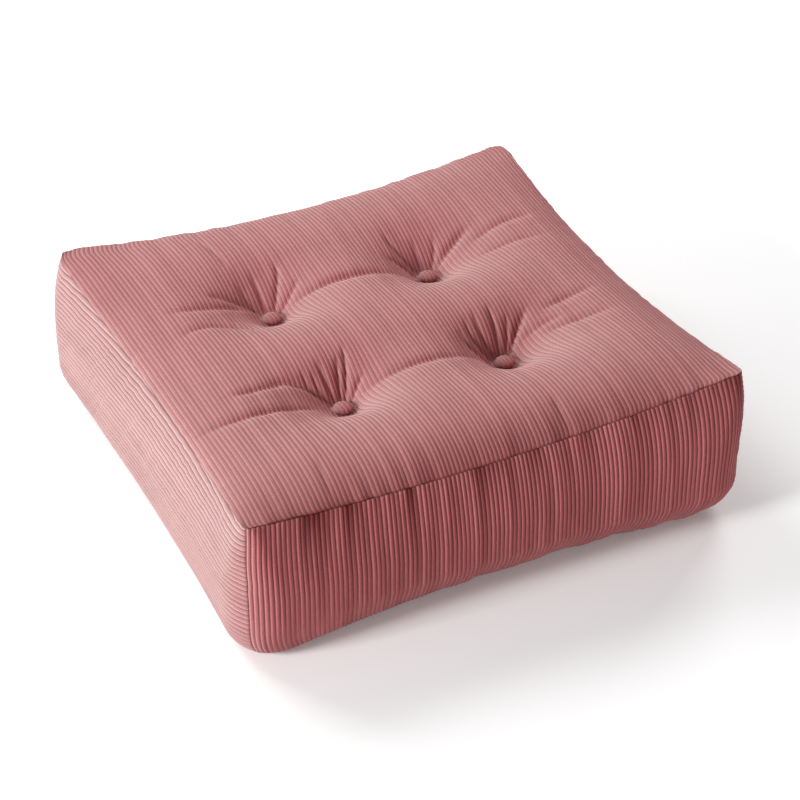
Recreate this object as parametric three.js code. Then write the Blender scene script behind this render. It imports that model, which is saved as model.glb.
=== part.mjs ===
// A low square floor pouf in wide-wale corduroy. One filled body, sewn from a top, four sides and
// a base, is drawn down at four points by covered buttons. Millimetres, Z up, with the origin on
// the floor under the middle of the body, X along the front and Y from the front to the back.
import * as THREE from 'three';

const { clamp, lerp, smoothstep } = THREE.MathUtils;

// Plan and levels of the body
const HALF_WIDTH = 350; // along X, where the sides are fullest
const HALF_DEPTH = 337; // along Y
const BASE_SEAM_HEIGHT = 6; // where the sides are sewn to the base
const FULLEST_HEIGHT = 98; // above this the sides draw in towards the top seam
const FOOT_HEIGHT = 58; // below this they roll in under the body
const TOP_TUCK = 17.3; // how far the top seam is drawn in from the fullest level
const TOP_TUCK_CURVE = 2.2; // a higher power keeps the sides upright for longer
const MID_BOW = 6; // how far the middle of a side is drawn in at the fullest level
const CORNER_ROUND = 63; // radius of the upright corners, from the fullest level to the foot

// Each corner: the height of the top seam there, the radius of the corner at that seam, and how
// far the foot rolls in
const CORNERS = {
  frontLeft: { height: 209, topRound: 11.3, footTuck: 27.6 },
  frontRight: { height: 222, topRound: 14.2, footTuck: 51.5 },
  backLeft: { height: 215.7, topRound: 35.7, footTuck: 64 },
  backRight: { height: 209.5, topRound: 28.6, footTuck: 48 },
};

// Each side, from its start to its end: how far its top seam sags at the middle, and how far the
// middle is drawn in at the top seam and at the foot
const SIDES = {
  front: {
    start: 'frontLeft', end: 'frontRight', run: HALF_WIDTH, reach: HALF_DEPTH,
    sag: 27.6, topBow: 12.4, footBow: 25.8, place: (along, out) => [along, -out],
  },
  right: {
    start: 'frontRight', end: 'backRight', run: HALF_DEPTH, reach: HALF_WIDTH,
    sag: 19, topBow: 14.6, footBow: 22, place: (along, out) => [out, along],
  },
  back: {
    start: 'backLeft', end: 'backRight', run: HALF_WIDTH, reach: HALF_DEPTH,
    sag: 19.5, topBow: 15.2, footBow: 22, place: (along, out) => [along, out],
  },
  left: {
    start: 'frontLeft', end: 'backLeft', run: HALF_DEPTH, reach: HALF_WIDTH,
    sag: 21.3, topBow: 13.1, footBow: 11.2, place: (along, out) => [-out, along],
  },
};

// The crown over the seams. A higher fullness rises more steeply from that edge.
const CROWN = 58.9;
const CROWN_LEAN = 0.071; // how much lower the crown is towards the back
const FULLNESS = { left: 2.3, right: 3.35, front: 5.2, back: 2.66 };
const ROUNDNESS = 0.877;

// The tufts: the cloth lies flat under each button and rises from there, over a distance of its
// own on the button's left, right, front and back
const BUTTON_X = 112;
const BUTTON_Y = 109;
const TUFTS = {
  back_left: { x: -BUTTON_X, y: BUTTON_Y, left: 65, right: 58, front: 49, back: 56 },
  back_right: { x: BUTTON_X, y: BUTTON_Y, left: 54, right: 74, front: 52, back: 55 },
  front_left: { x: -BUTTON_X, y: -BUTTON_Y, left: 67, right: 50, front: 53, back: 37 },
  front_right: { x: BUTTON_X, y: -BUTTON_Y, left: 53, right: 69, front: 58, back: 35 },
};
const SEAT_HEIGHT = 168.2; // of the cloth under a button
const SEAT_RADIUS = 14.5;
const PULL_SOFTNESS = 5.1; // rounds the foot of the slope

// The sewn-down rows between the buttons and the main folds beside them, as soft troughs that run
// from one point through another to the last, in plan
const FOLDS = [
  { from: [-92, 115], through: [-12, 113], to: [92, 107], depth: 9, width: 11 },
  { from: [-92, -101], through: [-5, -108], to: [92, -106], depth: 8, width: 10 },
  { from: [-126, 124], through: [-155, 134], to: [-186, 136], depth: 3, width: 9 },
  { from: [-132, 112], through: [-190, 109], to: [-256, 111], depth: 3.5, width: 10 },
  { from: [-150, 75], through: [-210, 61], to: [-262, 57], depth: 3, width: 10 },
  { from: [-124, -98], through: [-158, -79], to: [-192, -74], depth: 3, width: 9 },
  { from: [-172, -78], through: [-219, -85], to: [-256, -87], depth: 2.5, width: 9 },
  { from: [-160, -133], through: [-235, -133], to: [-322, -128], depth: 4.5, width: 11 },
  { from: [128, 117], through: [157, 127], to: [190, 139], depth: 3, width: 9 },
  { from: [165, 106], through: [220, 116], to: [276, 121], depth: 3.5, width: 10 },
  { from: [162, 78], through: [215, 68], to: [266, 66], depth: 3, width: 10 },
  { from: [124, -97], through: [146, -79], to: [170, -60], depth: 3, width: 9 },
  { from: [180, -82], through: [217, -79], to: [260, -74], depth: 3, width: 9 },
  { from: [150, -110], through: [205, -129], to: [262, -131], depth: 4, width: 11 },
];
const FOLD_STEPS = 10; // short straight pieces that a fold is measured along

// The rolled edge of the base, and the flat that the body stands on: how far each row lies inside
// the base seam, and its height
const BASE_ROWS = [{ inset: 12, height: 1.6 }, { inset: 28, height: 0 }];

// The covered buttons, as a half section: the distance from the middle and the height
const BUTTON_SECTION = [
  [0, 0], [9, 0], [12.1, 1.3], [13, 2.9], [12.5, 4.5], [10.4, 6.2], [6.6, 7.5], [0, 8.2],
];
const BUTTON_SEGMENTS = 20;
const BUTTON_GAP = 0.3; // between the underside of a button and the cloth

// How finely the body is divided
const LINES_ACROSS = 44;
const LINES_BACK = 62;
const LINE_CROWDING = { edge: 1.6, edgeReach: 24, tuft: 1.7, tuftReach: 42 };
const SIDE_ROWS = [0, 0.07, 0.17, 0.3, 0.45, 0.6, 0.73, 0.83, 0.91, 0.96, 1];

const COLOURS = { cover: 0xb87f7e, button: 0xb57a79 };

// A point of a side panel: t runs from -1 to 1 along it, down from 0 at the top seam to 1 at the
// base seam
function sidePoint(side, t, down) {
  const between = (key, share) => lerp(CORNERS[side.start][key], CORNERS[side.end][key], share);
  const seamHeight = between('height', (1 + t) / 2) - side.sag * (1 - t * t);
  const footTuck = between('footTuck', smoothstep(t, -1, 1));
  const z = lerp(seamHeight, BASE_SEAM_HEIGHT, down);
  const upper = clamp((z - FULLEST_HEIGHT) / (seamHeight - FULLEST_HEIGHT), 0, 1);
  const foot = clamp(1 - z / FOOT_HEIGHT, 0, 1);

  const tuck = TOP_TUCK * upper ** TOP_TUCK_CURVE + footTuck * (1 - Math.sqrt(1 - foot ** 2));
  const bow = MID_BOW + (side.topBow - MID_BOW) * upper + (side.footBow - MID_BOW) * foot;
  const { topRound } = CORNERS[t < 0 ? side.start : side.end];
  const radius = lerp(CORNER_ROUND, topRound, upper ** 1.5);

  const straight = side.run - tuck - radius;
  const travelled = Math.abs(t) * (straight + radius * Math.PI / 4);
  const turn = clamp((travelled - straight) / radius, 0, Math.PI / 4);
  const along = Math.min(travelled, straight) + radius * Math.sin(turn);
  const end = straight + radius * Math.SQRT1_2;
  const out = side.reach - tuck - radius * (1 - Math.cos(turn)) - bow * (1 - (along / end) ** 2);
  const [x, y] = side.place(Math.sign(t) * along, out);
  return new THREE.Vector3(x, y, z);
}

// The plain surface stretched between the four top seams, u across and v back from -1 to 1
function seamSurface(u, v) {
  const point = new THREE.Vector3();
  const add = (side, t, share) => point.addScaledVector(sidePoint(side, t, 0), share);
  const [nearFront, nearBack] = [(1 - v) / 2, (1 + v) / 2];
  const [nearLeft, nearRight] = [(1 - u) / 2, (1 + u) / 2];
  add(SIDES.front, u, nearFront);
  add(SIDES.back, u, nearBack);
  add(SIDES.left, v, nearLeft);
  add(SIDES.right, v, nearRight);
  add(SIDES.front, -1, -nearFront * nearLeft);
  add(SIDES.front, 1, -nearFront * nearRight);
  add(SIDES.back, -1, -nearBack * nearLeft);
  add(SIDES.back, 1, -nearBack * nearRight);
  return point;
}

// The rise of the crown along one direction: 0 at both seams and 1 in the middle
function rise(t, lowFullness, highFullness) {
  const fullness = t < 0 ? lowFullness : highFullness;
  return Math.max(0, 1 - Math.abs(t) ** fullness) ** ROUNDNESS;
}

// How strongly a button pulls the cloth down at a place: 1 under it, fading to 0
function pull(tuft, x, y) {
  const [dx, dy] = [x - tuft.x, y - tuft.y];
  const distance = Math.max(Math.hypot(dx, dy), 1e-6);
  const sideways = (dx / distance) ** 2;
  const reach = lerp(dy < 0 ? tuft.front : tuft.back, dx < 0 ? tuft.left : tuft.right, sideways);
  const beyond = Math.max(0, distance - SEAT_RADIUS);
  return Math.exp(-(Math.hypot(beyond, PULL_SOFTNESS) - PULL_SOFTNESS) / reach);
}

// The depth of one fold at a point in plan. The fold is a smooth curve through its three points,
// deepest along its middle and shallow towards its ends.
function foldDepth(fold, x, y) {
  const bend = (axis) => 2 * fold.through[axis] - (fold.from[axis] + fold.to[axis]) / 2;
  const onCurve = (axis, s) => (1 - s) ** 2 * fold.from[axis] + 2 * s * (1 - s) * bend(axis)
    + s ** 2 * fold.to[axis];
  let nearest = Infinity;
  let where = 0;
  for (let step = 0; step < FOLD_STEPS; step += 1) {
    const start = [onCurve(0, step / FOLD_STEPS), onCurve(1, step / FOLD_STEPS)];
    const end = [onCurve(0, (step + 1) / FOLD_STEPS), onCurve(1, (step + 1) / FOLD_STEPS)];
    const [dx, dy] = [end[0] - start[0], end[1] - start[1]];
    const part = clamp(((x - start[0]) * dx + (y - start[1]) * dy) / (dx * dx + dy * dy), 0, 1);
    const distance = Math.hypot(x - start[0] - part * dx, y - start[1] - part * dy);
    if (distance < nearest) {
      nearest = distance;
      where = (step + part) / FOLD_STEPS;
    }
  }
  const fade = Math.sqrt(Math.sin(Math.PI * clamp(where, 0.02, 0.98)));
  return fold.depth * fade * Math.exp(-((nearest / fold.width) ** 2));
}

// A point of the top panel: crowned over its seams, folded, and drawn down at the buttons
function topPoint(u, v) {
  const point = seamSurface(u, v);
  const crown = rise(u, FULLNESS.left, FULLNESS.right) * rise(v, FULLNESS.front, FULLNESS.back);
  const inside = Math.min(1, 1.3 * crown);
  point.z += CROWN * crown * (1 - CROWN_LEAN * v);
  for (const fold of FOLDS) {
    point.z -= foldDepth(fold, point.x, point.y) * inside;
  }
  let free = 1;
  for (const tuft of Object.values(TUFTS)) {
    free *= 1 - inside * pull(tuft, point.x, point.y);
  }
  point.z = lerp(SEAT_HEIGHT, point.z, free);
  return point;
}

// Values from -1 to 1 that lie closer together near the seams and beside the buttons
function gridLines(halfLength, tuftPlace, count) {
  const { edge, edgeReach, tuft, tuftReach } = LINE_CROWDING;
  const crowding = (t) => {
    const place = Math.abs(t) * halfLength;
    return 1 + edge * Math.exp(-(halfLength - place) / edgeReach)
      + tuft * Math.exp(-(((place - tuftPlace) / tuftReach) ** 2));
  };
  const samples = 2000;
  const sums = [0];
  for (let i = 0; i < samples; i += 1) {
    sums.push(sums[i] + crowding(-1 + (2 * i + 1) / samples));
  }
  const lines = [];
  for (let line = 0, i = 0; line <= count; line += 1) {
    const wanted = sums[samples] * line / count;
    while (i < samples - 1 && sums[i + 1] < wanted) i += 1;
    lines.push(-1 + 2 * (i + (wanted - sums[i]) / (sums[i + 1] - sums[i])) / samples);
  }
  lines[0] = -1;
  lines[count] = 1;
  return lines;
}

// The closed body: a grid over the top, rows round the sides and the rolled edge, and a flat base
function bodyGeometry() {
  const across = gridLines(HALF_WIDTH, BUTTON_X, LINES_ACROSS);
  const back = gridLines(HALF_DEPTH, BUTTON_Y, LINES_BACK);
  const points = [];
  const faces = [];
  const addPoint = (point) => points.push(point) - 1;
  const addQuad = (a, b, c, d) => {
    const shortWay = points[a].distanceTo(points[c]) < points[b].distanceTo(points[d]);
    faces.push(...(shortWay ? [a, b, c, a, c, d] : [a, b, d, b, c, d]));
  };

  const grid = back.map((v) => across.map((u) => addPoint(topPoint(u, v))));
  for (let j = 0; j < LINES_BACK; j += 1) {
    for (let i = 0; i < LINES_ACROSS; i += 1) {
      addQuad(grid[j][i], grid[j][i + 1], grid[j + 1][i + 1], grid[j + 1][i]);
    }
  }

  // The way round, anticlockwise from the front left corner, with the grid point of each stop
  const round = [
    ...across.slice(0, -1).map((t, i) => ({ side: SIDES.front, t, start: grid[0][i] })),
    ...back.slice(0, -1).map((t, j) => ({ side: SIDES.right, t, start: grid[j][LINES_ACROSS] })),
    ...across.slice(1).map((t, i) => (
      { side: SIDES.back, t, start: grid[LINES_BACK][i + 1] })).reverse(),
    ...back.slice(1).map((t, j) => ({ side: SIDES.left, t, start: grid[j + 1][0] })).reverse(),
  ];
  let upper = round.map((stop) => stop.start);
  const addRow = (lower) => {
    for (let n = 0; n < round.length; n += 1) {
      const next = (n + 1) % round.length;
      addQuad(lower[n], lower[next], upper[next], upper[n]);
    }
    upper = lower;
  };
  for (const down of SIDE_ROWS.slice(1)) {
    addRow(round.map((stop) => addPoint(sidePoint(stop.side, stop.t, down))));
  }
  const seam = upper.map((index) => points[index]);
  for (const { inset, height } of BASE_ROWS) {
    addRow(seam.map((point) => {
      const share = 1 - inset / Math.hypot(point.x, point.y);
      return addPoint(new THREE.Vector3(point.x * share, point.y * share, height));
    }));
  }
  const outline = upper.map((index) => new THREE.Vector2(points[index].x, points[index].y));
  for (const [a, b, c] of THREE.ShapeUtils.triangulateShape(outline, [])) {
    faces.push(upper[c], upper[b], upper[a]);
  }

  const geometry = new THREE.BufferGeometry().setFromPoints(points);
  geometry.setIndex(faces);
  geometry.computeVertexNormals();
  return geometry;
}

function buttonGeometry() {
  const section = BUTTON_SECTION.map(([radius, height]) => new THREE.Vector2(radius, height));
  return new THREE.LatheGeometry(section, BUTTON_SEGMENTS).rotateX(Math.PI / 2);
}

function clothMaterial(color) {
  return new THREE.MeshStandardMaterial({ color, roughness: 0.95, metalness: 0 });
}

const group = new THREE.Group();
const body = new THREE.Mesh(bodyGeometry(), clothMaterial(COLOURS.cover));
body.name = 'pouf_body';
group.add(body);
for (const [place, { x, y }] of Object.entries(TUFTS)) {
  const button = new THREE.Mesh(buttonGeometry(), clothMaterial(COLOURS.button));
  button.name = `button_${place}`;
  button.position.set(x, y, SEAT_HEIGHT + BUTTON_GAP);
  group.add(button);
}

export default group;
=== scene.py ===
# A low square floor pouf in wide-wale corduroy, sewn from six ribbed panels over its packed
# solids, with four covered buttons. Metres, Z up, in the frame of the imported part.
import math

import bpy
import numpy as np
from mathutils import Matrix, Vector


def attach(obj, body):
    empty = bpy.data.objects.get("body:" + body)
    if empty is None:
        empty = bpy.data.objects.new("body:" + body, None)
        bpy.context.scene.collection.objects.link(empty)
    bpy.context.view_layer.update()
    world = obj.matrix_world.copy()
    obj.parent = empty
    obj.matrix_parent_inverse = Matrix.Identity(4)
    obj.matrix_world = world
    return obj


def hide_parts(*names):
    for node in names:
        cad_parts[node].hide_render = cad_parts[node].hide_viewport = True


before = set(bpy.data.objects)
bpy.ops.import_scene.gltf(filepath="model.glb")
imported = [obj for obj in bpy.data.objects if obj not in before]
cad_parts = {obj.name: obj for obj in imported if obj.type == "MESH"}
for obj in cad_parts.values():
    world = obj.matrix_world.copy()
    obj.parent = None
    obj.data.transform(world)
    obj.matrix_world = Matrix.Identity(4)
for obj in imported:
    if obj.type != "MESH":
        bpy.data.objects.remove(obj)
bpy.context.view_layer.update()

# Plan and levels of the body, as in the part
HALF_WIDTH = 0.350
HALF_DEPTH = 0.337
BASE_SEAM_HEIGHT = 0.006
FULLEST_HEIGHT = 0.098
FOOT_HEIGHT = 0.058
TOP_TUCK = 0.0173
TOP_TUCK_CURVE = 2.2
MID_BOW = 0.006
CORNER_ROUND = 0.063
BASE_ROLL = 0.028  # how far inside its seam the base comes down to the floor
CORNER_CURVE = 1.5  # how soon a corner's radius comes down to that of the top seam
DIAGONAL = math.sqrt(0.5)

# Each corner: height of the top seam, radius of the corner there, how far the foot rolls in
CORNERS = {
    "front_left": {"height": 0.209, "top_round": 0.0113, "foot_tuck": 0.0276},
    "front_right": {"height": 0.222, "top_round": 0.0142, "foot_tuck": 0.0515},
    "back_left": {"height": 0.2157, "top_round": 0.0357, "foot_tuck": 0.064},
    "back_right": {"height": 0.2095, "top_round": 0.0286, "foot_tuck": 0.048},
}

# Each side: its corners, half length, distance from the middle, and how far it sags and bows.
# along and outward are its directions in plan.
SIDES = {
    "front": {
        "start": "front_left", "end": "front_right", "run": HALF_WIDTH, "reach": HALF_DEPTH,
        "sag": 0.0276, "top_bow": 0.0124, "foot_bow": 0.0258, "along": (1, 0), "outward": (0, -1),
    },
    "right": {
        "start": "front_right", "end": "back_right", "run": HALF_DEPTH, "reach": HALF_WIDTH,
        "sag": 0.019, "top_bow": 0.0146, "foot_bow": 0.022, "along": (0, 1), "outward": (1, 0),
    },
    "back": {
        "start": "back_left", "end": "back_right", "run": HALF_WIDTH, "reach": HALF_DEPTH,
        "sag": 0.0195, "top_bow": 0.0152, "foot_bow": 0.022, "along": (1, 0), "outward": (0, 1),
    },
    "left": {
        "start": "front_left", "end": "back_left", "run": HALF_DEPTH, "reach": HALF_WIDTH,
        "sag": 0.0213, "top_bow": 0.0131, "foot_bow": 0.0112, "along": (0, 1), "outward": (-1, 0),
    },
}

# The crown, and the tufts that draw it down
CROWN = 0.0589
CROWN_LEAN = 0.071  # how much lower the crown is towards the back
FULLNESS = {"left": 2.3, "right": 3.35, "front": 5.2, "back": 2.66}
ROUNDNESS = 0.877
FOLD_RISE = 1.3  # how soon the folds reach their full depth as the crown rises
BUTTON_X = 0.112
BUTTON_Y = 0.109
SEAT_HEIGHT = 0.1682
SEAT_RADIUS = 0.0145
PULL_SOFTNESS = 0.0051
BUTTON_CLEAR = {"start": 0.0125, "width": 0.0035}  # creases end where a button begins
# How the cloth is drawn towards a button
PINCH = {"draw": 0.003, "rise": 0.010, "fade": 0.050, "crown": 2.5}

# Each button: its place, and how far its pull reaches on its four sides
TUFTS = {
    "back_left": {"x": -BUTTON_X, "y": BUTTON_Y,
                  "left": 0.065, "right": 0.058, "front": 0.049, "back": 0.056},
    "back_right": {"x": BUTTON_X, "y": BUTTON_Y,
                   "left": 0.054, "right": 0.074, "front": 0.052, "back": 0.055},
    "front_left": {"x": -BUTTON_X, "y": -BUTTON_Y,
                   "left": 0.067, "right": 0.050, "front": 0.053, "back": 0.037},
    "front_right": {"x": BUTTON_X, "y": -BUTTON_Y,
                    "left": 0.053, "right": 0.069, "front": 0.058, "back": 0.035},
}

# Corduroy: how far apart the level ribs and those of a button lie, how many ribs cross each other
# panel, and how deep the grooves are
LEVEL_PITCH = 0.0073
BUTTON_PITCH = 0.0056
RIBS = {"top": 113, "front": 112, "back": 112, "base": 104}
RIB_DEPTH = {"top": 0.0008, "upright": 0.0016, "level": 0.0018, "base": 0.0012, "button": 0.0010}
RIB_CREST = 0.40  # where the crest lies across a rib, as the pile leans a little
RIB_FULLNESS = 0.7
RIB_SAMPLES = (0.0, 0.06, 0.18, 0.40, 0.68, 0.91)  # where a rib's section is sampled
TOP_SAMPLES = (0.0, 0.12, 0.36, 0.66, 0.88)
SPREAD = {"ends": 0.05, "lean": 0.02}  # how much wider apart ribs lie at the ends, and at the left

# The rows of points of a panel: how many, and how much closer together they are at the seams and
# how far in from them
POINT_ROWS = {
    "top": {"count": 175, "crowding": 7, "reach": 0.003},
    "upright": {"count": 60, "crowding": 6, "reach": 0.015},
    "level": {"count": 140, "crowding": 6, "reach": 0.009},
    "base": {"count": 40, "crowding": 5, "reach": 0.03},
}
TUFT_POINT_ROWS = {"crowding": 2.2, "place": 0.105, "reach": 0.045}  # the same beside the tufts
# How finely lengths are measured: between rows, across the top and up a side
PLACE_SAMPLES = 4001
ACROSS_SAMPLES = 401
PROFILE_SAMPLES = 81

# Painted light across a rib, from groove to groove: painted shade in the groove, a painted highlight on
# the flank before its crest, and fainter lines between. How strongly it shows differs with the panel.
RIB_HIGHLIGHT_AND_SHADE = {0.0: (0.58, 0.38, 0.38), 0.09: (0.82, 0.71, 0.71), 0.17: (1.02, 1.01, 1.01),
             0.26: (1.28, 1.26, 1.26), 0.35: (1.02, 1.01, 1.01), 0.52: (0.90, 0.86, 0.86),
             0.80: (0.91, 0.86, 0.86), 0.92: (0.80, 0.69, 0.69), 1.0: (0.58, 0.38, 0.38)}
RIB_HIGHLIGHT_SHARE = {"top": 0.75, "upright": 1.1, "level": 1.0, "base": 0.8, "button": 0.5}
# Painted shade in the grooves, by panel
GROOVE_SHADE = {"top": 0.0, "upright": 0.20, "level": 0.5, "base": 0.2, "button": 0.1}
TONE_AND_SHADE_COLOUR = (0.42, 0.22, 0.22)  # the colour darkness draws towards: random tone from rib to rib, and painted shade in the grooves, at the seams and by the front seam
# How dark each panel is throughout, and below 0 how much paler
DARKNESS = {"top": 0.06, "upright": -0.05, "level": -0.08, "base": 0.08, "button": 0.08}
PAINTED_LIGHT_FROM = (-0.37, 0.57, -0.04)  # painted light and sheen: the way a surface faces to be painted paler, and how strongly
PAINTED_LIGHT_LEVEL = 0.59  # how much painted light there is throughout
LEVEL_PAINTED_LIGHT = 0.24  # how much more painted light and sheen the panels with level ribs get

# How darkness changes from rib to rib: by how much, over how many ribs, over what length, and the seed
# of its unevenness. It is random tone, except on the top by the front seam and in the bands below it,
# where it is painted shade and highlight of the puckers there.
SHADES = {
    "top": (0.05, 1.4, 0.110, 31),
    "top_front": (0.55, 2.6, 0.2, 32),
    "upright": (0.24, 1.3, 0.120, 33),
    "upright_painted_bands": (1.0, 2.3, 0.3, 34),
    "level": (0.10, 1.3, 0.120, 35),
}
TOP_FRONT_REACH = 0.030  # how far the painted shade of the ribs reaches over the front seam, and the painted bands below it
# Painted shade and highlight of the puckers, in bands below the top seam of the front and back
BAND_REACH = 0.055
BAND_HIGHLIGHT = 0.7
BAND_CREST = 4  # the painted highlight of the bands shows on the crests alone
# Painted shade: the top is darker at its front left
FRONT_LEFT_SHADE = {"share": 0.26, "reach": 0.050, "start": 0.35, "fade": 0.5}
FOOT_CLEAR = {"least": 0.3, "start": 0.03, "rise": 0.09}  # the painted highlights and shade of the upright ribs are weaker at the foot

# Painted shade in each kind of seam: how dark, how wide, and how much less so on the crests that run
# into it
SEAM_SHADE_SHARE = {"front_back": 0.75, "left_right": 0.25, "base": 0.6, "upright_end": 0.9,
              "level_end": 0.7}
SEAM_SHADE_WIDTH = 0.0010
SEAM_SHADE_CREST = 0.5
SEAM_DIP = 0.0020
SEAM_SOFT = 0.0011
SEAM_CURVE = 1.5
LEFT_SEAM_DIP = 0.3  # the share of the dip that shows on the top at its left seam

CELLS = 64  # any unevenness repeats after this many of its bumps

# The waves of the cloth: height, width, length and seed. "stray" moves the ribs of the top
# sideways, the others lift the cloth; "pairs" are about two ribs wide and "rib" one.
WAVES = {
    "stray": (0.0005, 0.020, 0.050, 3),
    "top_swell": (0.0009, 0.060, 0.060, 1),
    "top_pairs": (0.0004, 0.012, 0.120, 2),
    "top_rib": (0.0004, 0.0075, 0.090, 4),
    "upright_pairs": (0.0005, 0.013, 0.120, 11),
    "upright_rib": (0.0005, 0.0075, 0.090, 14),
    "upright_swell": (0.0008, 0.060, 0.070, 12),
    "upright_foot": (0.0018, 0.026, 0.200, 13),
    "level_slant": (0.0007, 0.009, 0.060, 21),
    "level_swell": (0.0010, 0.060, 0.060, 22),
    "left_seam": (0.0008, 0.011, 0.030, 23),
}
# How far in from a seam the waves are full, in metres or, for "end" and "stray", as a share
WAVE_MARGIN = {"top": 0.03, "side": 0.02, "end": 0.06, "stray": 0.04}
FOOT_WAVE = {"top": 0.08, "fade": 0.05}
LEVEL_WAVE = {"slant": 0.8, "rise": 0.10}
LEFT_SEAM_WAVE = {"slant": 0.9, "start": 0.008, "fade": 0.045, "ends": 0.08}

# How the cloth puckers at each seam: the width of a pucker, its height, how far it reaches over
# the top and down the side, and the direction in which it stands out
PUCKERS = {
    "front": {"width": 0.012, "height": 0.0012, "over": 0.045, "down": 0.070,
              "out": (0.0, -0.8, 0.6), "seed": 5},
    "back": {"width": 0.014, "height": 0.0011, "over": 0.040, "down": 0.060,
             "out": (0.0, 0.8, 0.6), "seed": 6},
    "left": {"width": 0.012, "height": 0.0010, "over": 0.012, "down": 0.040,
             "out": (-0.8, 0.0, 0.6), "seed": 7},
    "right": {"width": 0.012, "height": 0.0010, "over": 0.012, "down": 0.040,
              "out": (0.8, 0.0, 0.6), "seed": 8},
}
PUCKER_ENDS = 0.05
CORNER_PUCKER = {"width": 0.016, "height": 0.0012, "reach": 0.020, "ends": 0.02, "seed": 9}
# How both panels bulge beside the left seam, and how far from its ends the bulge of each is full
SEAM_ROLL = {"height": 0.0036, "start": 0.010, "fade": 0.045, "top_ends": 0.05, "side_ends": 0.15}

# The two rows between the buttons: a curve in plan from one point through another to the last,
# the depth, and how wide the slope is behind the line and in front of it
ROWS = [
    ((-0.092, 0.115), (-0.012, 0.113), (0.092, 0.107), 0.0123, 0.0056, 0.0083),
    ((-0.092, -0.101), (-0.005, -0.108), (0.092, -0.106), 0.0101, 0.0065, 0.0072),
]
# The folds of the top in the same way, with a depth and a width. Broad ones are soft troughs, the
# rest are creases in them.
BROAD_FOLDS = [
    ((-0.119, 0.129), (-0.156, 0.143), (-0.186, 0.149), 0.0020, 0.0090),
    ((-0.130, 0.132), (-0.190, 0.126), (-0.250, 0.126), 0.0025, 0.0100),
    ((-0.148, 0.060), (-0.200, 0.081), (-0.255, 0.073), 0.0020, 0.0100),
    ((-0.124, -0.091), (-0.154, -0.070), (-0.188, -0.062), 0.0020, 0.0090),
    ((-0.172, -0.065), (-0.212, -0.070), (-0.250, -0.072), 0.0015, 0.0090),
    ((-0.145, -0.108), (-0.232, -0.117), (-0.322, -0.124), 0.0035, 0.0110),
    ((0.130, 0.120), (0.160, 0.134), (0.194, 0.149), 0.0020, 0.0090),
    ((0.180, 0.122), (0.235, 0.130), (0.282, 0.132), 0.0025, 0.0100),
    ((0.172, 0.088), (0.222, 0.084), (0.272, 0.076), 0.0020, 0.0100),
    ((0.126, -0.092), (0.147, -0.076), (0.171, -0.058), 0.0020, 0.0090),
    ((0.184, -0.070), (0.221, -0.068), (0.262, -0.064), 0.0020, 0.0090),
    ((0.160, -0.103), (0.215, -0.115), (0.264, -0.122), 0.0030, 0.0110),
]
CREASES = [
    ((-0.117, 0.129), (-0.156, 0.143), (-0.182, 0.149), 0.0046, 0.0036),
    ((-0.128, 0.133), (-0.190, 0.126), (-0.244, 0.126), 0.0041, 0.0040),
    ((-0.146, 0.058), (-0.200, 0.081), (-0.248, 0.073), 0.0032, 0.0040),
    ((-0.124, -0.091), (-0.154, -0.070), (-0.184, -0.062), 0.0046, 0.0036),
    ((-0.174, -0.065), (-0.212, -0.070), (-0.242, -0.072), 0.0046, 0.0034),
    ((-0.147, -0.108), (-0.232, -0.117), (-0.320, -0.123), 0.0057, 0.0038),
    ((0.130, 0.121), (0.160, 0.134), (0.190, 0.148), 0.0038, 0.0036),
    ((0.184, 0.122), (0.235, 0.130), (0.276, 0.131), 0.0029, 0.0036),
    ((0.176, 0.088), (0.222, 0.084), (0.264, 0.077), 0.0024, 0.0038),
    ((0.126, -0.093), (0.147, -0.076), (0.168, -0.059), 0.0043, 0.0032),
    ((0.142, -0.093), (0.177, -0.091), (0.201, -0.095), 0.0020, 0.0034),
    ((0.188, -0.070), (0.221, -0.068), (0.258, -0.065), 0.0027, 0.0036),
    ((0.174, -0.104), (0.215, -0.115), (0.256, -0.121), 0.0029, 0.0038),
    ((-0.138, 0.196), (-0.142, 0.238), (-0.163, 0.290), 0.0041, 0.0036),
    ((0.096, -0.262), (0.096, -0.278), (0.096, -0.297), 0.0038, 0.0028),
    ((-0.208, -0.246), (-0.211, -0.270), (-0.216, -0.302), 0.0027, 0.0036),
]
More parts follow.
